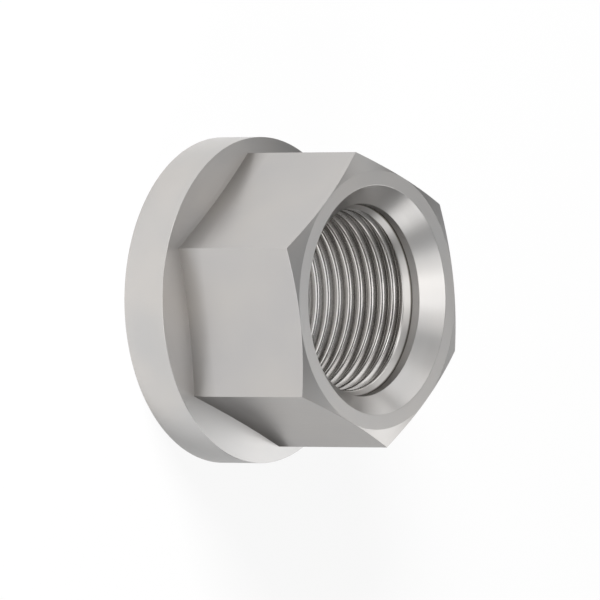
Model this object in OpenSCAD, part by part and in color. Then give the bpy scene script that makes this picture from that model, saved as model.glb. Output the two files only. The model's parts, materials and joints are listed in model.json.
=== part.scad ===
// Hex flange nut: a wrench hexagon and a round collar turned from one bar of steel.
// The bearing face lies on z = 0 and the nut's axis is Z, with the hexagon upwards.

/* [Hexagon] */
// Distance across the flats, which the wrench grips
across_flats = 19; // [18:0.1:20.5]
// Height of the whole nut, from the bearing face to the front face
nut_height = 14.1; // [11:0.1:20]
// Angle between the front face and the chamfer turned on the six corners
corner_chamfer_angle = 20; // [10:1:35]
// Gap between the flats and the circle where that chamfer starts
corner_chamfer_inset = 0.025; // [0.01:0.005:0.2]

/* [Collar] */
// Diameter of the round collar
collar_d = 24; // [24:0.5:32]
// Height of the collar's straight rim
rim_height = 3.5; // [2:0.1:5]
// Slope of the collar's top, which rises from the rim to the hexagon
collar_slope = 10; // [2:1:20]

/* [Threaded hole] */
// Outside diameter of the thread, which is the size of its stud
thread_d = 14; // [12:0.25:14.5]
// Depth of the thread from crest to root
thread_depth = 0.4; // [0.3:0.05:0.6]

/* [Mouth at the front face] */
// Diameter of the countersink at the front face
countersink_d = 16.8; // [15.6:0.1:17.4]
// Depth of the countersink
countersink_depth = 1.4; // [0.8:0.1:2.5]
// How much wider than the thread the plain recess below the countersink is
recess_clearance = 0.1; // [0.05:0.05:0.5]
// Length of the plain recess
recess_length = 0.7; // [0.3:0.1:2]
// Slope of the lead-in between the recess and the thread's crests
lead_in_angle = 45; // [30:5:60]

/* [Mouth at the bearing face] */
// Diameter of the countersink at the bearing face
back_countersink_d = 15; // [14.4:0.1:17]
// Slope of that countersink
back_countersink_angle = 45; // [30:5:60]

/* [Hidden] */
// Segments of a full turn in the round parts
$fn = 96;
// How far a cut runs past the face that it opens in
over = 1;

corner_r = across_flats / 2 / cos(30);
front_circle_r = across_flats / 2 - corner_chamfer_inset;
collar_r = collar_d / 2;
collar_rise = collar_r * tan(collar_slope);

bore_r = thread_d / 2 - thread_depth;
recess_r = (thread_d + recess_clearance) / 2;
countersink_r = countersink_d / 2;
countersink_spread = (countersink_r - recess_r) / countersink_depth;
back_countersink_r = back_countersink_d / 2;
back_countersink_spread = 1 / tan(back_countersink_angle);

// Heights of the steps in the hole, from the bearing face upwards
bore_start_z = (back_countersink_r - bore_r) / back_countersink_spread;
recess_top_z = nut_height - countersink_depth;
recess_floor_z = recess_top_z - recess_length;
bore_end_z = recess_floor_z - (recess_r - bore_r) * tan(lead_in_angle);

// Turned collar: a straight rim and a low cone that carries on up inside the hexagon
module collar() {
    rotate_extrude()
        polygon([
            [0, 0],
            [collar_r, 0],
            [collar_r, rim_height],
            [0, rim_height + collar_rise]
        ]);
}

// Cone that the corner chamfer is turned to. It narrows to the circle on the front face.
module corner_chamfer_cone() {
    cylinder(
        h = nut_height,
        r1 = front_circle_r + nut_height / tan(corner_chamfer_angle),
        r2 = front_circle_r
    );
}

// Six flats, with a corner on +X. The foot of the prism is inside the collar.
module hexagon() {
    intersection() {
        translate([0, 0, rim_height / 2])
            linear_extrude(nut_height - rim_height / 2)
                circle(r = corner_r, $fn = 6);
        corner_chamfer_cone();
    }
}

// The hole as one turned profile: a countersink at each end, the bore at the thread's
// crests, and the lead-in and the plain recess that clear the tap below the front mouth
module threaded_hole() {
    rotate_extrude()
        polygon([
            [0, -over],
            [back_countersink_r + over * back_countersink_spread, -over],
            [bore_r, bore_start_z],
            [bore_r, bore_end_z],
            [recess_r, recess_floor_z],
            [recess_r, recess_top_z],
            [countersink_r + over * countersink_spread, nut_height + over],
            [0, nut_height + over]
        ]);
}

module nut() {
    color([0.72, 0.70, 0.68])
        difference() {
            union() {
                collar();
                hexagon();
            }
            threaded_hole();
        }
}

nut();
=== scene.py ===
"""Hex flange nut: the turned, milled and tapped steel part, its finishes and its studio.

The nut's sizes are in millimetres, as on a drawing, and MM turns them into metres. The
studio's are in metres. The nut stands on its bearing face at z = 0 with its axis on Z, and a
corner of the hexagon points along X.
"""

import json
import logging
import math
from dataclasses import dataclass
from enum import Enum

import bmesh
import bpy
import numpy as np
from mathutils import Matrix, Vector

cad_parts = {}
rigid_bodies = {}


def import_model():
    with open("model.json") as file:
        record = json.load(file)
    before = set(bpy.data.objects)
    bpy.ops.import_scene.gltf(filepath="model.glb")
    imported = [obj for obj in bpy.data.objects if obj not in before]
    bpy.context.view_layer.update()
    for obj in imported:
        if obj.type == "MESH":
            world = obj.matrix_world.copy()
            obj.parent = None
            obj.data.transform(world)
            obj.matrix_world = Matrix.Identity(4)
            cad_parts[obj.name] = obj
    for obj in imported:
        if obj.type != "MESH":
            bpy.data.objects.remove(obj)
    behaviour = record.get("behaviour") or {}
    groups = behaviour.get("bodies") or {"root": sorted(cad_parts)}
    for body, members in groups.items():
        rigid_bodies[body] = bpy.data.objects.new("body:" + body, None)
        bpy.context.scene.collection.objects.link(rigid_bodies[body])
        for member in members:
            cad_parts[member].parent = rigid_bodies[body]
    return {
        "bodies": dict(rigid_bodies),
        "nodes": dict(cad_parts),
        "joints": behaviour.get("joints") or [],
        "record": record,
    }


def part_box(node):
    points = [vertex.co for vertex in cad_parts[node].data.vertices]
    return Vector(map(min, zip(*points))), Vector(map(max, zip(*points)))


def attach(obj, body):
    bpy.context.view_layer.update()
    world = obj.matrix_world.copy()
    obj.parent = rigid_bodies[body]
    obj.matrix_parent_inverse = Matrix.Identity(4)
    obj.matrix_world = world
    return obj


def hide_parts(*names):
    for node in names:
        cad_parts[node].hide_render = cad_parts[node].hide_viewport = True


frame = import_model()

MM = 0.001
CLOSE = 1e-7  # metres; points nearer than this are one
SIXTH_TURN = math.radians(60)
LOG = logging.getLogger("nut")


def linear(colour: str) -> tuple[float, float, float, float]:
    """Turn an sRGB colour into the linear values that a shader socket takes.

    Args:
        colour: six hex digits after a number sign, such as "#c8c6c3".

    Returns:
        Linear red, green, blue and an alpha of 1.
    """
    channels = [int(colour[i : i + 2], 16) / 255 for i in (1, 3, 5)]
    curve = [c / 12.92 if c <= 0.04045 else ((c + 0.055) / 1.055) ** 2.4 for c in channels]
    return (*curve, 1.0)


def add(
    tree: bpy.types.NodeTree, kind: str, inputs: dict | list | tuple = (), **settings: object
) -> bpy.types.Node:
    """Add a node to a tree, with its settings and links.

    Args:
        tree: the node tree that gets the node.
        kind: the node's type name.
        inputs: values by socket name or number, or in order as a list. A node stands for
            its first output, a socket is linked, and anything else is set as the value.
        **settings: the node's own properties.

    Returns:
        The new node.
    """
    node = tree.nodes.new(kind)
    for name, value in settings.items():
        setattr(node, name, value)
    pairs = inputs.items() if isinstance(inputs, dict) else enumerate(inputs)
    for name, value in pairs:
        if isinstance(value, bpy.types.Node):
            value = value.outputs[0]
        if isinstance(value, bpy.types.NodeSocket):
            tree.links.new(value, node.inputs[name])
        else:
            node.inputs[name].default_value = value
    return node


class Surface(Enum):
    """How a stretch of the nut's surface was made. The value is its material slot."""

    TURNED = 0
    DRAWN = 1
    TAPPED = 2


@dataclass(frozen=True)
class NutSizes:
    """The nut's sizes in millimetres. The frame gives the outer ones and the bore."""

    collar_radius: float
    height: float
    crest_radius: float
    bore_start: float
    bore_end: float
    across_flats: float = 19.0
    rim_height: float = 3.5
    collar_slope: float = 10.0
    corner_chamfer_angle: float = 20.0
    corner_chamfer_inset: float = 0.025
    countersink_radius: float = 8.4
    countersink_depth: float = 1.4
    lead_in_angle: float = 45.0
    thread_radius: float = 7.0
    recess_clearance: float = 0.05
    pitch: float = 1.0

    @classmethod
    def from_frame(cls, packed: dict) -> "NutSizes":
        """Read the outer sizes and the bore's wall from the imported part.


        Returns:
            The nut's sizes.
        """
        low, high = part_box("nut")
        thread = next(m for m in packed["record"]["mounts"] if m["name"] == "thread")
        middle = thread["pos_m"][2] / MM
        half = thread["dims"]["length_mm"] / 2
        return cls(
            collar_radius=min(-low.x, high.x, -low.y, high.y) / MM,
            height=high.z / MM,
            crest_radius=thread["dims"]["r_mm"],
            bore_start=middle - half,
            bore_end=middle + half,
        )

    @property
    def apothem(self) -> float:
        """Distance from the axis to a flat."""
        return self.across_flats / 2

    @property
    def collar_top(self) -> float:
        """Height where the collar's cone meets the middle of a flat."""
        rise = (self.collar_radius - self.apothem) * math.tan(math.radians(self.collar_slope))
        return self.rim_height + rise

    @property
    def front_circle_radius(self) -> float:
        """Radius of the circle where the corner chamfer meets the front face."""
        return self.apothem - self.corner_chamfer_inset

    @property
    def recess_radius(self) -> float:
        """Radius of the plain recess between the countersink and the lead-in."""
        return self.thread_radius + self.recess_clearance

    @property
    def recess_top(self) -> float:
        """Height where the countersink ends and the recess starts."""
        return self.height - self.countersink_depth

    @property
    def recess_floor(self) -> float:
        """Height where the recess ends and the lead-in starts."""
        rise = (self.recess_radius - self.crest_radius) * math.tan(math.radians(self.lead_in_angle))
        return self.bore_end + rise


@dataclass(frozen=True)
class Corner:
    """A corner of the nut's outline. Its radius or height may differ from column to column.

    Its reach is how far its rounding goes along both sides, and its surface runs on from it.
    """

    radius: float | np.ndarray
    height: float | np.ndarray
    reach: float = 0.0
    surface: Surface = Surface.TURNED

    def spots(self, angles: np.ndarray) -> np.ndarray:
        """Give the corner's radius and height at each of the columns' angles."""
        return np.stack([np.broadcast_to(size, angles.shape) for size in (self.radius, self.height)])


@dataclass
class Blank:
    """The nut before it is tapped: one closed skin of quads, column by column round the axis.

    The pilot hole is a little narrower than the thread, whose crests the tap cuts out of it.
    A rounding takes its reach off both sides of a corner, or the most rounded share of a side
    that is too short for it.
    """

    sizes: NutSizes
    pilot_radius: float = 6.55
    edge_break: float = 0.03
    lead_in_round: float = 0.2
    round_rows: int = 7
    most_rounded: float = 0.5
    shortest_side: float = 1e-9
    steps_per_flat: int = 40

    def columns(self) -> np.ndarray:
        """Give the angle of each column of the skin.

        A pair of columns stands close beside each corner, so the strip between them is the
        corner's small edge break.

        Returns:
            Angles in radians, counted from X.
        """
        corner_radius = self.sizes.apothem / math.cos(SIXTH_TURN / 2)
        half_break = self.edge_break / 2 / corner_radius
        flat = np.linspace(half_break, SIXTH_TURN - half_break, self.steps_per_flat + 1)
        return np.concatenate([flat + SIXTH_TURN * k for k in range(6)])

    def hexagon_radius(self, angles: np.ndarray) -> np.ndarray:
        """Give the distance from the axis to the flats.

        Args:
            angles: the columns' angles.

        Returns:
            The hexagon's radius at each angle.
        """
        return self.sizes.apothem / np.cos(np.mod(angles, SIXTH_TURN) - SIXTH_TURN / 2)

    def corners(self, angles: np.ndarray) -> list[Corner]:
        """Give the outline's corners, from the hole's foot round the outside to its mouth.

        Args:
            angles: the columns' angles.

        Returns:
            The corners, in the order of the outline.
        """
        s = self.sizes
        flats = self.hexagon_radius(angles)
        collar_fall = (s.collar_radius - flats) * math.tan(math.radians(s.collar_slope))
        past_circle = flats - s.front_circle_radius
        chamfer_fall = past_circle * math.tan(math.radians(s.corner_chamfer_angle))
        to_pilot = s.crest_radius - self.pilot_radius
        lead_in_fall = to_pilot * math.tan(math.radians(s.lead_in_angle))
        broken = self.edge_break / 2
        return [
            Corner(self.pilot_radius, s.bore_start + to_pilot),
            Corner(s.crest_radius + s.bore_start, 0.0, broken),
            Corner(s.collar_radius, 0.0, broken),
            Corner(s.collar_radius, s.rim_height, broken),
            Corner(flats, s.rim_height + collar_fall, surface=Surface.DRAWN),
            Corner(flats, s.height - chamfer_fall, broken),
            Corner(s.front_circle_radius, s.height),
            Corner(s.countersink_radius, s.height, broken),
            Corner(s.recess_radius, s.recess_top, broken),
            Corner(s.recess_radius, s.recess_floor, broken),
            Corner(self.pilot_radius, s.bore_end - lead_in_fall, self.lead_in_round),
        ]

    def outline(self, angles: np.ndarray) -> tuple[np.ndarray, list[Surface]]:
        """Give the skin's rows. A rounded corner is two rows or, where it shows, a curve.

        Args:
            angles: the columns' angles.

        Returns:
            Radius and height of every row at every column, and the surface after each row.
        """
        corners = self.corners(angles)
        spots = [corner.spots(angles) for corner in corners]
        rows, surfaces = [], []
        for i, corner in enumerate(corners):
            if not corner.reach:
                rows.append(spots[i])
                surfaces.append(corner.surface)
                continue
            ends = []
            for j in (i - 1, (i + 1) % len(corners)):
                side = spots[j] - spots[i]
                length = np.maximum(np.linalg.norm(side, axis=0), self.shortest_side)
                ends.append(side * np.minimum(corner.reach / length, self.most_rounded))
            count = self.round_rows if corner.reach > self.edge_break else 2
            for share in np.linspace(0, 1, count):
                rows.append(spots[i] + (1 - share) ** 2 * ends[0] + share**2 * ends[1])
            surfaces += [Surface.TURNED] * (count - 1) + [corner.surface]
        return np.array(rows), surfaces

    def build(self) -> bpy.types.Object:
        """Make the blank as one closed mesh.

        Returns:
            The blank, in metres, with a material number for each surface.
        """
        angles = self.columns()
        rows, surfaces = self.outline(angles)
        row_count, column_count = len(rows), len(angles)
        radius, height = rows[:, 0], rows[:, 1]
        points = np.stack([radius * np.cos(angles), radius * np.sin(angles), height], axis=-1)
        index = np.arange(row_count * column_count).reshape(row_count, column_count)
        beside, above = np.roll(index, -1, axis=1), np.roll(index, -1, axis=0)
        quads = np.stack([index, beside, np.roll(above, -1, axis=1), above], axis=-1)
        mesh = bpy.data.meshes.new("blank")
        mesh.from_pydata((points.reshape(-1, 3) * MM).tolist(), [], quads.reshape(-1, 4).tolist())
        made = np.repeat([surface.value for surface in surfaces], column_count)
        mesh.polygons.foreach_set("material_index", made.astype(np.int32))
        blank = bpy.data.objects.new("blank", mesh)
        bpy.context.scene.collection.objects.link(blank)
        return blank


@dataclass
class Tap:
    """The thread, cut with a screw-shaped solid that geometry nodes make and subtract.

    Over the X axis a crest stands at the crest height, and the others whole pitches from it.
    The screw runs out below the bearing face by its overrun, and into the lead-in by its lip.
    """

    sizes: NutSizes
    crest_round: float = 0.22
    root_round: float = 0.06
    flank_angle: float = 30.0
    crest_height: float = 0.35
    overrun: float = 1.2
    lip: float = 0.1
    segments: int = 144
    rows_per_pitch: int = 30
    spare_rows: int = 3

    def inputs(self) -> dict[str, float | int]:
        """Give the tree's named inputs, in metres where they are lengths.

        Returns:
            The value of each input by its name.
        """
        s = self.sizes
        low, high = -self.overrun, s.bore_end + self.lip
        # The first row lies more than a turn below the low end, so that all of it folds onto
        # that end. Half a segment's climb on top keeps the rows' points off both ends.
        first = low - s.pitch * (1 + 1 / self.rows_per_pitch + 0.5 / self.segments)
        turns = (high - first) / s.pitch
        return {
            "Pitch": s.pitch * MM,
            "Crest radius": s.crest_radius * MM,
            "Root radius": s.thread_radius * MM,
            "Crest round": self.crest_round * MM,
            "Crest half width": self.crest_round * math.cos(math.radians(self.flank_angle)) * MM,
            "Flank rise": 1 / math.tan(math.radians(self.flank_angle)),
            "Root round": self.root_round * MM,
            "Crest height": self.crest_height * MM,
            "First row": first * MM,
            "Low end": low * MM,
            "High end": high * MM,
            "Segments": self.segments,
            "Rows per pitch": self.rows_per_pitch,
            "Rows": math.ceil(turns * self.rows_per_pitch) + self.spare_rows,
        }

    def tree(self, material: bpy.types.Material) -> bpy.types.GeometryNodeTree:
        """Build the node tree that makes the screw and cuts it out of the blank.

        Args:
            material: the finish of the tapped surface.

        Returns:
            The tree, with a named input for each size.
        """
        tree = bpy.data.node_groups.new("tap", "GeometryNodeTree")
        tree.interface.new_socket("Geometry", in_out="INPUT", socket_type="NodeSocketGeometry")
        for name, value in self.inputs().items():
            kind = "NodeSocketInt" if isinstance(value, int) else "NodeSocketFloat"
            tree.interface.new_socket(name, in_out="INPUT", socket_type=kind)
        tree.interface.new_socket("Geometry", in_out="OUTPUT", socket_type="NodeSocketGeometry")
        given = add(tree, "NodeGroupInput").outputs
        screw = self.screw(tree, given)
        add(tree, "NodeGroupOutput", [self.cut_out(tree, given, screw, material)])
        return tree

    def screw(
        self, tree: bpy.types.GeometryNodeTree, given: bpy.types.bpy_prop_collection
    ) -> bpy.types.Node:
        """Roll a flat grid up into the screw.

        The grid's columns go once round the axis, and each row climbs by one pitch on the
        way, so that its end meets the row one pitch above its start. Rows past either end
        fold onto that end, and the first and the last row onto the axis.

        Args:
            tree: the node tree.
            given: the tree's inputs.

        Returns:
            A node whose output is the closed screw.
        """
        columns = add(tree, "ShaderNodeMath", [given["Segments"], 1.0], operation="ADD")
        grid = add(
            tree,
            "GeometryNodeMeshGrid",
            {"Size X": 1.0, "Size Y": 1.0, "Vertices X": columns, "Vertices Y": given["Rows"]},
        )
        place = add(tree, "ShaderNodeSeparateXYZ", [add(tree, "GeometryNodeInputPosition")])
        turn = add(tree, "ShaderNodeMath", [place.outputs["X"], 0.5], operation="ADD")
        share = add(tree, "ShaderNodeMath", [place.outputs["Y"], 0.5], operation="ADD")
        last_row = add(tree, "ShaderNodeMath", [given["Rows"], 1.0], operation="SUBTRACT")
        row_place = add(tree, "ShaderNodeMath", [share, last_row], operation="MULTIPLY")
        row = add(tree, "ShaderNodeMath", [row_place], operation="ROUND")

        step = [given["Pitch"], given["Rows per pitch"]]
        row_step = add(tree, "ShaderNodeMath", step, operation="DIVIDE")
        start_from = [row, row_step, given["First row"]]
        start = add(tree, "ShaderNodeMath", start_from, operation="MULTIPLY_ADD")
        climb = [turn, given["Pitch"], start]
        climbed = add(tree, "ShaderNodeMath", climb, operation="MULTIPLY_ADD")
        not_low = add(tree, "ShaderNodeMath", [climbed, given["Low end"]], operation="MAXIMUM")
        height = add(tree, "ShaderNodeMath", [not_low, given["High end"]], operation="MINIMUM")

        # Folded rows keep the crest's radius, and the first and the last row have none.
        profile = self.profile(tree, given, start)
        unfolded = add(tree, "ShaderNodeMath", [climbed, height, CLOSE], operation="COMPARE")
        inside = add(
            tree, "ShaderNodeMix", {"Factor": unfolded, "A": given["Crest radius"], "B": profile}
        )
        past_first = add(tree, "ShaderNodeMath", [row, 0.5], operation="GREATER_THAN")
        last_but = add(tree, "ShaderNodeMath", [last_row, 0.5], operation="SUBTRACT")
        before_last = add(tree, "ShaderNodeMath", [row, last_but], operation="LESS_THAN")
        off_axis = add(tree, "ShaderNodeMath", [past_first, before_last], operation="MULTIPLY")
        radius = add(tree, "ShaderNodeMath", [inside, off_axis], operation="MULTIPLY")

        angle = add(tree, "ShaderNodeMath", [turn, math.tau], operation="MULTIPLY")
        cosine = add(tree, "ShaderNodeMath", [angle], operation="COSINE")
        sine = add(tree, "ShaderNodeMath", [angle], operation="SINE")
        x = add(tree, "ShaderNodeMath", [radius, cosine], operation="MULTIPLY")
        y = add(tree, "ShaderNodeMath", [radius, sine], operation="MULTIPLY")
        rolled = add(tree, "ShaderNodeCombineXYZ", [x, y, height])
        screw = add(tree, "GeometryNodeSetPosition", {"Geometry": grid, "Position": rolled})
        return add(tree, "GeometryNodeMergeByDistance", {"Geometry": screw, "Distance": CLOSE})

    def profile(
        self,
        tree: bpy.types.GeometryNodeTree,
        given: bpy.types.bpy_prop_collection,
        start: bpy.types.Node,
    ) -> bpy.types.Node:
        """Give the thread's radius: a round crest, a straight flank and a rounded flat root.

        Args:
            tree: the node tree.
            given: the tree's inputs.
            start: the height at which the row starts, which sets its place in the thread.

        Returns:
            A node whose output is the radius.
        """
        half_pitch = add(tree, "ShaderNodeMath", [given["Pitch"], 0.5], operation="MULTIPLY")
        from_crest = add(tree, "ShaderNodeMath", [start, given["Crest height"]], operation="SUBTRACT")
        off_crest = add(tree, "ShaderNodeMath", [from_crest, half_pitch], operation="PINGPONG")
        within_arc = [off_crest, given["Crest half width"]]
        on_arc = add(tree, "ShaderNodeMath", within_arc, operation="MINIMUM")
        sine_on_arc = add(tree, "ShaderNodeMath", [on_arc, given["Crest round"]], operation="DIVIDE")
        angle_on_arc = add(tree, "ShaderNodeMath", [sine_on_arc], operation="ARCSINE")
        level = add(tree, "ShaderNodeMath", [angle_on_arc], operation="COSINE")
        drop = add(tree, "ShaderNodeMath", [1.0, level], operation="SUBTRACT")
        below_crest = [drop, given["Crest round"], given["Crest radius"]]
        arc = add(tree, "ShaderNodeMath", below_crest, operation="MULTIPLY_ADD")
        past_arc = add(tree, "ShaderNodeMath", [off_crest, on_arc], operation="SUBTRACT")
        down_flank = [past_arc, given["Flank rise"], arc]
        flank = add(tree, "ShaderNodeMath", down_flank, operation="MULTIPLY_ADD")
        down_to_root = [flank, given["Root radius"], given["Root round"]]
        return add(tree, "ShaderNodeMath", down_to_root, operation="SMOOTH_MIN")

    def cut_out(
        self,
        tree: bpy.types.GeometryNodeTree,
        given: bpy.types.bpy_prop_collection,
        screw: bpy.types.Node,
        material: bpy.types.Material,
    ) -> bpy.types.Node:
        """Take the screw out of the blank and dress the faces that it leaves.

        Args:
            tree: the node tree.
            given: the tree's inputs.
            screw: the node with the closed screw.
            material: the finish of the tapped surface.

        Returns:
            A node whose output is the tapped nut.
        """
        marked = add(
            tree,
            "GeometryNodeStoreNamedAttribute",
            {"Geometry": screw, "Name": "tapped", "Value": True},
            data_type="BOOLEAN",
            domain="FACE",
        )
        cut = add(
            tree,
            "GeometryNodeMeshBoolean",
            {"Mesh 1": given["Geometry"], "Mesh 2": marked},
            operation="DIFFERENCE",
            solver="EXACT",
        )
        smooth = add(tree, "GeometryNodeSetShadeSmooth", {"Geometry": cut, "Shade Smooth": True})
        real = add(tree, "GeometryNodeRealizeInstances", {"Geometry": smooth})
        tapped = add(tree, "GeometryNodeInputNamedAttribute", {"Name": "tapped"}, data_type="BOOLEAN")
        dressed = {"Geometry": real, "Selection": tapped, "Material": material}
        return add(tree, "GeometryNodeSetMaterial", dressed)

    def cut(self, blank: bpy.types.Object, material: bpy.types.Material) -> bpy.types.Mesh:
        """Tap the blank's hole.

        Args:
            blank: the nut before it is tapped.
            material: the finish of the tapped surface.

        Returns:
            The tapped nut as a plain mesh.
        """
        tree = self.tree(material)
        modifier = blank.modifiers.new("tap", "NODES")
        modifier.node_group = tree
        sockets = {s.name: s.identifier for s in tree.interface.items_tree if s.in_out == "INPUT"}
        for name, value in self.inputs().items():
            modifier[sockets[name]] = value
        bpy.context.view_layer.update()
        evaluated = blank.evaluated_get(bpy.context.evaluated_depsgraph_get())
        mesh = bpy.data.meshes.new_from_object(evaluated)
        blank.modifiers.remove(modifier)
        return mesh


@dataclass(frozen=True)
class BrightSteel:
    """Plain carbon steel, machined bright and left uncoated: a satin grey metal, a little warm.

    Handling leaves a trace of oil, so its colour drifts softly from patch to patch. The grain
    that the tool leaves streaks its gloss. A painted shade darkens the steel where a finish
    paints it into corners and hollows, standing in for the shade that falls there.
    Both patterns use the middle of their noise, between the two values given for it.
    """

    name: str
    colour: str = "#cac7c4"
    oiled_colour: str = "#c2c1c0"
    patch_size: float = 7.0
    patch_noise: tuple[float, float] = (0.35, 0.65)
    patch_detail: float = 2.0
    patch_detail_strength: float = 0.5
    # The colour that painted shade darkens the steel towards.
    painted_shade_colour: str = "#5a554f"
    roughness: float = 0.3
    roughness_spread: float = 0.025
    grain_spacing: float = 0.16
    grain_depth: float = 0.0005
    grain_noise: tuple[float, float] = (0.25, 0.75)
    grain_detail: float = 3.0
    grain_detail_strength: float = 0.6

    def grain_place(
        self, tree: bpy.types.NodeTree, place: bpy.types.Node, normal: bpy.types.NodeSocket
    ) -> bpy.types.Node:
        """Give the coordinates in which the grain is one unit wide and one unit long.

        Args:
            tree: the material's tree.
            place: the spot on the nut in millimetres.
            normal: the surface's direction there.

        Returns:
            A node whose output is the grain's coordinates.
        """
        raise NotImplementedError

    def painted_shade(self, tree: bpy.types.NodeTree, place: bpy.types.Node) -> bpy.types.Node | float:
        """Give how strongly painted shade darkens the steel, from 0 to 1; plain steel has none."""
        return 0.0

    def base_colour(self, tree: bpy.types.NodeTree, place: bpy.types.Node) -> bpy.types.NodeSocket:
        """Let the colour drift from patch to patch, and darken it with painted shade.

        Args:
            tree: the material's tree.
            place: the spot on the nut in millimetres.

        Returns:
            The socket that gives the colour.
        """
        drift = add(
            tree,
            "ShaderNodeTexNoise",
            {
                "Vector": place,
                "Scale": 1 / self.patch_size,
                "Detail": self.patch_detail,
                "Roughness": self.patch_detail_strength,
            },
        )
        low, high = self.patch_noise
        oiled = add(tree, "ShaderNodeMapRange", {"Value": drift, "From Min": low, "From Max": high})
        colour = add(
            tree,
            "ShaderNodeMix",
            {0: oiled, 6: linear(self.colour), 7: linear(self.oiled_colour)},
            data_type="RGBA",
        )
        # Painted shade: the colour darkens towards the shade colour as far as the finish paints it.
        shaded = add(
            tree,
            "ShaderNodeMix",
            {0: self.painted_shade(tree, place), 6: colour.outputs[2], 7: linear(self.painted_shade_colour)},
            data_type="RGBA",
        )
        return shaded.outputs[2]

    def build(self) -> bpy.types.Material:
        """Build the material: steel with drifting colour, streaked gloss and a fine grain.

        Returns:
            The material.
        """
        material = bpy.data.materials.new(self.name)
        material.use_nodes = True
        tree = material.node_tree
        tree.nodes.clear()
        spot = add(tree, "ShaderNodeTexCoord").outputs
        place = add(tree, "ShaderNodeMapping", {"Vector": spot["Object"], "Scale": (1 / MM,) * 3})
        grain = add(
            tree,
            "ShaderNodeTexNoise",
            {
                "Vector": self.grain_place(tree, place, spot["Normal"]),
                "Scale": 1.0,
                "Detail": self.grain_detail,
                "Roughness": self.grain_detail_strength,
            },
        )
        gloss = add(
            tree,
            "ShaderNodeMapRange",
            {
                "Value": grain,
                "From Min": self.grain_noise[0],
                "From Max": self.grain_noise[1],
                "To Min": self.roughness - self.roughness_spread,
                "To Max": self.roughness + self.roughness_spread,
            },
        )
        bump = add(
            tree,
            "ShaderNodeBump",
            {"Height": grain, "Distance": self.grain_depth * MM, "Strength": 1.0},
        )
        colour = self.base_colour(tree, place)
        steel = add(
            tree,
            "ShaderNodeBsdfPrincipled",
            {"Base Color": colour, "Metallic": 1.0, "Roughness": gloss, "Normal": bump},
        )
        add(tree, "ShaderNodeOutputMaterial", {"Surface": steel})
        return material


@dataclass(frozen=True)
class TurnedSteel(BrightSteel):
    """Steel cut on a lathe: faint rings round the axis, one for each turn of the tool's feed.

    A real feed of 0.1 mm is hardly wider than a pixel, so the rings are drawn a little coarser.
    Painted shade greys the lead-in, and draws a dark line in the corner between it and the recess.
    """

    name: str = "turned_steel"
    lead_in_foot: float = 11.55
    lead_in_top: float = 12.0
    # Painted shade: faint over the lead-in, dark in the corner at its top.
    lead_in_painted_shade: float = 0.2
    corner_painted_shade: float = 0.95
    corner_reach: tuple[float, float] = (0.04, 0.1)

    def painted_shade(self, tree: bpy.types.NodeTree, place: bpy.types.Node) -> bpy.types.Node | float:
        """Paint a light shade over the lead-in and a dark line of shade in the corner at its top.

        Args:
            tree: the material's tree.
            place: the spot on the nut in millimetres.

        Returns:
            A node whose output is how strong the painted shade is, from 0 to 1.
        """
        height = add(tree, "ShaderNodeSeparateXYZ", [place]).outputs["Z"]
        middle = (self.lead_in_foot + self.lead_in_top) / 2
        half = (self.lead_in_top - self.lead_in_foot) / 2
        on_lead_in = add(tree, "ShaderNodeMath", [height, middle, half], operation="COMPARE")
        lead_in_shade = add(tree, "ShaderNodeMath", [on_lead_in, self.lead_in_painted_shade], operation="MULTIPLY")
        above_corner = add(tree, "ShaderNodeMath", [height, self.lead_in_top], operation="SUBTRACT")
        off_corner = add(tree, "ShaderNodeMath", [above_corner], operation="ABSOLUTE")
        near, far = self.corner_reach
        corner_shade = add(
            tree,
            "ShaderNodeMapRange",
            {
                "Value": off_corner,
                "From Min": near,
                "From Max": far,
                "To Min": self.corner_painted_shade,
                "To Max": 0.0,
            },
        )
        return add(tree, "ShaderNodeMath", [lead_in_shade, corner_shade], operation="MAXIMUM")

    def grain_place(
        self, tree: bpy.types.NodeTree, place: bpy.types.Node, normal: bpy.types.NodeSocket
    ) -> bpy.types.Node:
        """Give coordinates along the turned outline, in rings, and round the axis.

        Args:
            tree: the material's tree.
            place: the spot on the nut in millimetres.
            normal: the surface's direction there.

        Returns:
            A node whose output is the grain's coordinates.
        """
        flat_place = add(tree, "ShaderNodeVectorMath", [place, (1, 1, 0)], operation="MULTIPLY")
        outward = add(tree, "ShaderNodeVectorMath", [flat_place], operation="NORMALIZE")
        radius = add(tree, "ShaderNodeVectorMath", [flat_place], operation="LENGTH").outputs["Value"]
        lean = add(tree, "ShaderNodeVectorMath", [normal, outward], operation="DOT_PRODUCT")
        height = add(tree, "ShaderNodeSeparateXYZ", [place]).outputs["Z"]
        rise = add(tree, "ShaderNodeSeparateXYZ", [normal]).outputs["Z"]
        from_axis = add(tree, "ShaderNodeMath", [radius, rise], operation="MULTIPLY")
        upward = add(tree, "ShaderNodeMath", [height, lean.outputs["Value"]], operation="MULTIPLY")
        along = add(tree, "ShaderNodeMath", [from_axis, upward], operation="SUBTRACT")
        rings = add(tree, "ShaderNodeMath", [along, self.grain_spacing], operation="DIVIDE")
        round_axis = add(tree, "ShaderNodeSeparateXYZ", [outward]).outputs
        return add(tree, "ShaderNodeCombineXYZ", [rings, round_axis["X"], round_axis["Y"]])


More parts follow.
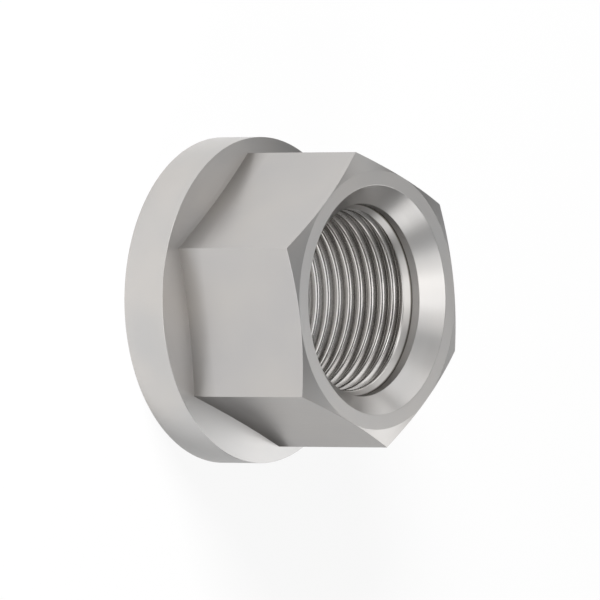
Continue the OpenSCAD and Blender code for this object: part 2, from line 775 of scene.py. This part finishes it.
@dataclass(frozen=True)
class DrawnSteel(BrightSteel):
    """The flats of a cold-drawn hexagon bar: smooth, with faint lines along the nut's axis.

    Drawing burnishes the bar, and its lines are finer than a pixel, so they are drawn coarser.
    Painted shade darkens each flat towards its foot, in the corner over the collar.
    """

    name: str = "drawn_steel"
    colour: str = "#c1bebb"
    oiled_colour: str = "#bbb9b8"
    grain_length: float = 8.0
    collar_top: float = 3.94
    # Painted shade at the flats' foot: how high it reaches and how dark it gets there.
    painted_shade_height: float = 1.8
    deepest_painted_shade: float = 0.45
    flat_offset: tuple[float, float, float] = (5.0, 9.0, 0.0)

    def painted_shade(self, tree: bpy.types.NodeTree, place: bpy.types.Node) -> bpy.types.Node | float:
        """Paint shade on the flats, darkest at their foot in the corner over the collar.

        Args:
            tree: the material's tree.
            place: the spot on the nut in millimetres.

        Returns:
            A node whose output is the film's thickness, from 0 to 1.
        """
        height = add(tree, "ShaderNodeSeparateXYZ", [place]).outputs["Z"]
        return add(
            tree,
            "ShaderNodeMapRange",
            {
                "Value": height,
                "From Min": self.collar_top,
                "From Max": self.collar_top + self.painted_shade_height,
                "To Min": self.deepest_painted_shade,
                "To Max": 0.0,
            },
        )

    def grain_place(
        self, tree: bpy.types.NodeTree, place: bpy.types.Node, normal: bpy.types.NodeSocket
    ) -> bpy.types.Node:
        """Give coordinates across and along a flat, and one that sets each flat's lines apart.

        Args:
            tree: the material's tree.
            place: the spot on the nut in millimetres.
            normal: the surface's direction there.

        Returns:
            A node whose output is the grain's coordinates.
        """
        sideways = add(tree, "ShaderNodeVectorMath", [normal, (0, 0, 1)], operation="CROSS_PRODUCT")
        across = add(tree, "ShaderNodeVectorMath", [place, sideways], operation="DOT_PRODUCT")
        spacing = [across.outputs["Value"], self.grain_spacing]
        lines = add(tree, "ShaderNodeMath", spacing, operation="DIVIDE")
        height = add(tree, "ShaderNodeSeparateXYZ", [place]).outputs["Z"]
        along = add(tree, "ShaderNodeMath", [height, self.grain_length], operation="DIVIDE")
        flat = add(tree, "ShaderNodeVectorMath", [normal, self.flat_offset], operation="DOT_PRODUCT")
        return add(tree, "ShaderNodeCombineXYZ", [lines, along, flat.outputs["Value"]])


@dataclass(frozen=True)
class TappedSteel(BrightSteel):
    """The thread as the tap leaves it: burnished by the cut, so glossier, with lines along it.

    The lines are a few hundredths of a millimetre apart, too fine to show, so they are drawn
    coarser. Painted shade darkens the roots nearly to black.
    """

    name: str = "tapped_steel"
    pitch: float = 1.0
    roughness: float = 0.22
    roughness_spread: float = 0.02
    grain_spacing: float = 0.08
    grain_depth: float = 0.0001
    # Painted shade in the roots: none inside the first radius, strongest from the second out.
    shade_start_radius: float = 6.78
    shade_full_radius: float = 6.95
    deepest_painted_shade: float = 0.7

    def painted_shade(self, tree: bpy.types.NodeTree, place: bpy.types.Node) -> bpy.types.Node | float:
        """Paint shade into the roots of the thread.

        Args:
            tree: the material's tree.
            place: the spot on the nut in millimetres.

        Returns:
            A node whose output is how strong the painted shade is, from 0 to 1.
        """
        flat_place = add(tree, "ShaderNodeVectorMath", [place, (1, 1, 0)], operation="MULTIPLY")
        radius = add(tree, "ShaderNodeVectorMath", [flat_place], operation="LENGTH").outputs["Value"]
        return add(
            tree,
            "ShaderNodeMapRange",
            {
                "Value": radius,
                "From Min": self.shade_start_radius,
                "From Max": self.shade_full_radius,
                "To Max": self.deepest_painted_shade,
            },
        )

    def grain_place(
        self, tree: bpy.types.NodeTree, place: bpy.types.Node, normal: bpy.types.NodeSocket
    ) -> bpy.types.Node:
        """Give coordinates across the thread's profile and round the axis.

        Args:
            tree: the material's tree.
            place: the spot on the nut in millimetres.
            normal: not used.

        Returns:
            A node whose output is the grain's coordinates.
        """
        spot = add(tree, "ShaderNodeSeparateXYZ", [place]).outputs
        angle = add(tree, "ShaderNodeMath", [spot["Y"], spot["X"]], operation="ARCTAN2")
        turns = add(tree, "ShaderNodeMath", [angle, math.tau], operation="DIVIDE")
        climb = add(tree, "ShaderNodeMath", [spot["Z"], self.pitch], operation="DIVIDE")
        unwound = add(tree, "ShaderNodeMath", [climb, turns], operation="SUBTRACT")
        share = add(tree, "ShaderNodeMath", [unwound], operation="FRACT")
        lines_per_pitch = self.pitch / self.grain_spacing
        lines = add(tree, "ShaderNodeMath", [share, lines_per_pitch], operation="MULTIPLY")
        cosine = add(tree, "ShaderNodeMath", [angle], operation="COSINE")
        sine = add(tree, "ShaderNodeMath", [angle], operation="SINE")
        return add(tree, "ShaderNodeCombineXYZ", [lines, cosine, sine])


@dataclass
class Nut:
    """The whole nut: the blank, tapped and dressed.

    A crest or root of the thread turns further from face to face than the rest of the nut, so
    its edges stay smooth up to a wider angle.
    """

    sizes: NutSizes
    sharp_angle: float = 12.0
    sharp_angle_in_thread: float = 35.0

    def mark_sharp_edges(self, mesh: bpy.types.Mesh) -> None:
        """Mark the edges where the shading breaks, and count the open ones.

        Args:
            mesh: the tapped nut.
        """
        skin = bmesh.new()
        skin.from_mesh(mesh)
        for edge in skin.edges:
            in_thread = all(f.material_index == Surface.TAPPED.value for f in edge.link_faces)
            limit = self.sharp_angle_in_thread if in_thread else self.sharp_angle
            edge.smooth = edge.is_manifold and edge.calc_face_angle() < math.radians(limit)
        loose = sum(not edge.is_manifold for edge in skin.edges)
        volume = skin.calc_volume(signed=True) / MM**3
        LOG.info("threaded_nut: %d faces, %d open edges, %.1f mm3", len(skin.faces), loose, volume)
        skin.to_mesh(mesh)
        skin.free()

    def build(self) -> bpy.types.Object:
        """Make the nut as one plain mesh and dress it.

        Returns:
            The finished nut.
        """
        finishes = {
            Surface.TURNED: TurnedSteel(
                lead_in_foot=self.sizes.bore_end, lead_in_top=self.sizes.recess_floor
            ),
            Surface.DRAWN: DrawnSteel(collar_top=self.sizes.collar_top),
            Surface.TAPPED: TappedSteel(pitch=self.sizes.pitch),
        }
        materials = [finishes[surface].build() for surface in Surface]
        blank = Blank(self.sizes).build()
        for material in materials:
            blank.data.materials.append(material)
        mesh = Tap(self.sizes).cut(blank, materials[Surface.TAPPED.value])
        bpy.data.objects.remove(blank)
        self.mark_sharp_edges(mesh)
        nut = bpy.data.objects.new("threaded_nut", mesh)
        bpy.context.scene.collection.objects.link(nut)
        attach(nut, "root")
        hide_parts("nut")
        return nut


class Lit(Enum):
    """What a lamp lights. In a product studio, flags keep each lamp off the rest."""

    NUT = "lights_the_nut"
    FLOOR = "lights_the_floor"

    def only(self, piece: bpy.types.Object) -> bpy.types.Collection:
        """Give a collection that holds just the piece, for a lamp to be linked to.

        Args:
            piece: what the lamp lights.

        Returns:
            The collection.
        """
        group = bpy.data.collections.get(self.value) or bpy.data.collections.new(self.value)
        if piece.name not in group.objects:
            group.objects.link(piece)
        return group


@dataclass(frozen=True)
class SoftBox:
    """A square soft box that faces the nut. Its brightness is 1 where it would look white."""

    name: str
    azimuth: float
    elevation: float
    brightness: float
    lit: Lit = Lit.NUT
    width: float = 0.17
    distance: float = 0.4

    def build(self, piece: bpy.types.Object) -> bpy.types.Object:
        """Hang the soft box.

        Args:
            piece: what it lights.

        Returns:
            The lamp.
        """
        turn, lift = math.radians(self.azimuth), math.radians(self.elevation)
        outward = Vector((math.cos(turn), math.sin(turn), 0))
        away = outward * math.cos(lift) + Vector((0, 0, math.sin(lift)))
        lamp = bpy.data.lights.new(self.name, "AREA")
        lamp.shape = "SQUARE"
        lamp.size = self.width
        lamp.energy = self.brightness * math.pi * self.width**2
        box = bpy.data.objects.new(self.name, lamp)
        box.location = away * self.distance
        box.rotation_euler = away.to_track_quat("Z", "Y").to_euler()
        box.light_linking.receiver_collection = self.lit.only(piece)
        bpy.context.scene.collection.objects.link(box)
        return box


@dataclass
class Studio:
    """A pale floor, soft boxes, an even surround and the camera.

    The camera's aim is in millimetres above the bearing face, and the frame's width in pixels
    with the pixels to 1 mm gives how much of the scene it takes in.
    """

    sizes: NutSizes
    floor_width: float = 4.0
    floor_gap: float = 0.00001
    floor_colour: str = "#f4f4f4"
    floor_glow: float = 0.9
    mirrored_glow: float = 0.4
    surround: float = 0.22
    bore_lamp_height: float = 0.4
    bore_lamp_brightness: float = 1.7
    bore_lamp_radius: float = 0.002
    bore_lamp_blend: float = 0.1
    frame_pixels: float = 600.0
    pixels_per_mm: float = 13.63
    view_elevation: float = 37.0
    view_azimuth: float = -10.0
    aim_height: float = 7.015
    camera_distance: float = 0.95

    def soft_boxes(self) -> list[SoftBox]:
        """List the soft boxes, round the nut from its front.

        Returns:
            The boxes that light the nut, and two that light the floor.
        """
        return [
            SoftBox("side_box", 0, 28, 1.4),
            SoftBox("back_box", 60, 28, 1.45),
            SoftBox("high_back_box", 60, 50, 0.8),
            SoftBox("top_back_box", 90, 50, 0.5),
            SoftBox("far_left_box", 120, 28, 0.6),
            SoftBox("low_left_box", 120, 8, 0.9),
            SoftBox("left_box", 150, 28, 1.0),
            SoftBox("high_left_box", 150, 50, 1.0),
            SoftBox("near_left_box", 180, 28, 1.05),
            SoftBox("near_front_box", 210, 28, 2.5),
            SoftBox("front_box", 270, 28, 1.25),
            SoftBox("top_front_box", 240, 50, 1.0),
            SoftBox("high_front_box", 270, 50, 1.45),
            SoftBox("high_side_box", 300, 50, 1.15),
            SoftBox("low_front_box", 275, 8, 1.0),
            SoftBox("side_front_box", 330, 50, 0.35),
            SoftBox("top_box", 100, 75, 0.2),
            SoftBox("floor_key", 203, 28, 29.5, lit=Lit.FLOOR),
            SoftBox("floor_fill", 330, 28, 6.4, lit=Lit.FLOOR),
        ]

    def build_floor(self) -> bpy.types.Object:
        """Lay the floor: matt, nearly white to the camera, and a dim grey to what mirrors it.

        Returns:
            The floor.
        """
        material = bpy.data.materials.new("studio_floor")
        material.use_nodes = True
        tree = material.node_tree
        tree.nodes.clear()
        path = add(tree, "ShaderNodeLightPath").outputs
        bent = [path["Is Glossy Ray"], path["Is Transmission Ray"]]
        mirrored = add(tree, "ShaderNodeMath", bent, operation="MAXIMUM")
        dimmed = add(tree, "ShaderNodeMath", [mirrored, self.mirrored_glow], operation="MULTIPLY")
        seen = [path["Is Camera Ray"], self.floor_glow]
        direct = add(tree, "ShaderNodeMath", seen, operation="MULTIPLY")
        share = add(tree, "ShaderNodeMath", [direct, dimmed], operation="MAXIMUM")
        paint = add(tree, "ShaderNodeBsdfDiffuse", {"Color": linear(self.floor_colour)})
        glow = add(tree, "ShaderNodeEmission", {"Color": (1, 1, 1, 1), "Strength": 1.0})
        both = add(tree, "ShaderNodeMixShader", [share, paint, glow])
        add(tree, "ShaderNodeOutputMaterial", {"Surface": both})
        mesh = bpy.data.meshes.new("studio_floor")
        half, low = self.floor_width / 2, -self.floor_gap
        corners = [(-half, -half, low), (half, -half, low), (half, half, low), (-half, half, low)]
        mesh.from_pydata(corners, [], [(0, 1, 2, 3)])
        mesh.materials.append(material)
        floor = bpy.data.objects.new("studio_floor", mesh)
        bpy.context.scene.collection.objects.link(floor)
        return floor

    def build_bore_lamp(self, floor: bpy.types.Object) -> None:
        """Hang a narrow lamp over the hole, so that the floor under it is as pale as the rest.

        Args:
            floor: the floor.
        """
        lamp = bpy.data.lights.new("bore_lamp", "SPOT")
        lamp.spot_size = 2 * math.atan(self.sizes.countersink_radius * MM / self.bore_lamp_height)
        lamp.spot_blend = self.bore_lamp_blend
        lamp.shadow_soft_size = self.bore_lamp_radius
        lamp.energy = self.bore_lamp_brightness * (2 * math.pi * self.bore_lamp_height) ** 2
        above = bpy.data.objects.new("bore_lamp", lamp)
        above.location = (0, 0, self.bore_lamp_height)
        above.light_linking.receiver_collection = Lit.FLOOR.only(floor)
        bpy.context.scene.collection.objects.link(above)

    def build_lights(self, nut: bpy.types.Object, floor: bpy.types.Object) -> None:
        """Hang the lamps and set the even surround.

        Args:
            nut: the finished nut.
            floor: the floor.
        """
        for box in self.soft_boxes():
            box.build(nut if box.lit is Lit.NUT else floor)
        self.build_bore_lamp(floor)
        world = bpy.data.worlds.new("surround")
        world.use_nodes = True
        tree = world.node_tree
        tree.nodes.clear()
        even = add(tree, "ShaderNodeBackground", {"Color": (1, 1, 1, 1), "Strength": self.surround})
        add(tree, "ShaderNodeOutputWorld", {"Surface": even})
        bpy.context.scene.world = world

    def build_camera(self) -> None:
        """Set the camera at the photograph's angle.

        Its long lens draws the nut almost as a parallel view would. Unlike that view, it looks
        over the floor from its own height, also when it is moved down beside the nut.
        """
        lift, turn = math.radians(self.view_elevation), math.radians(self.view_azimuth)
        away = Vector((math.sin(turn), -math.cos(turn), 0))
        towards = away * math.cos(lift) + Vector((0, 0, math.sin(lift)))
        right = Vector((0, 0, math.cos(lift))) - away * math.sin(lift)
        up = towards.cross(right)
        lens = bpy.data.cameras.new("camera")
        frame_width = self.frame_pixels / self.pixels_per_mm * MM
        lens.lens = lens.sensor_width * self.camera_distance / frame_width
        camera = bpy.data.objects.new("camera", lens)
        turned = Matrix((right, up, towards)).transposed().to_4x4()
        aim = Vector((0, 0, self.aim_height * MM))
        camera.matrix_world = Matrix.Translation(aim + towards * self.camera_distance) @ turned
        bpy.context.scene.collection.objects.link(camera)
        bpy.context.scene.camera = camera

    def build(self, nut: bpy.types.Object) -> None:
        """Build the studio round the nut.

        Args:
            nut: the finished nut.
        """
        self.build_camera()
        self.build_lights(nut, self.build_floor())
        bpy.context.scene.view_settings.view_transform = "Standard"


def main() -> None:
    """Build the nut and its studio."""
    logging.basicConfig(level=logging.INFO, format="%(message)s")
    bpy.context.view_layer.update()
    sizes = NutSizes.from_frame(frame)
    nut = Nut(sizes).build()
    LOG.info("built %s", nut.name)
    Studio(sizes).build(nut)
    LOG.info("built the studio")


if __name__ == "__main__":
    main()
